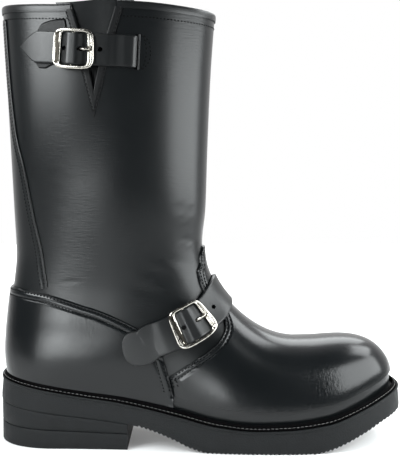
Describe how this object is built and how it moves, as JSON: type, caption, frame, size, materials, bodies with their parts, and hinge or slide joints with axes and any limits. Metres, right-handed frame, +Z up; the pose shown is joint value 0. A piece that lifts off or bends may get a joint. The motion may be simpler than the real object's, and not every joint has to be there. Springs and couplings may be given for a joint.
{
  "type": "motorcycle boot",
  "caption": "Tall black leather pull-on motorcycle boot with a buckled collar strap over a gusseted slit, a buckled instep strap, a welt and a stacked rubber heel.",
  "frame": {"origin": "middle of the boot's box, on the floor under the sole", "axes": "+X from heel to toe, +Y towards the inner side of the foot, +Z up"},
  "size_m": [0.314, 0.1121, 0.3337],
  "materials": {
    "shaft_leather": "smooth black leather, soft gloss",
    "strap_leather": "smooth black leather, soft gloss",
    "welt_leather": "black, waxed edge",
    "insole_leather": "natural tan, matt",
    "sole_rubber": "matt dark grey, lightly pebbled",
    "nickel": "polished nickel"
  },
  "bodies": {
    "root": {"upper": "shaft_leather", "vamp": "shaft_leather", "counter": "shaft_leather", "collar_binding": "strap_leather", "notch_binding": "shaft_leather", "gusset": "shaft_leather", "side_seam_outer": "shaft_leather", "side_seam_inner": "shaft_leather", "top_strap": "strap_leather", "top_chape": "strap_leather", "top_buckle": "nickel", "top_prong": "nickel", "instep_strap": "strap_leather", "instep_chape": "strap_leather", "instep_buckle": "nickel", "instep_prong": "nickel", "outsole": "sole_rubber", "heel_wedge": "sole_rubber", "heel_lift": "sole_rubber", "welt": "welt_leather", "insole": "insole_leather"}
  },
  "joints": []
}
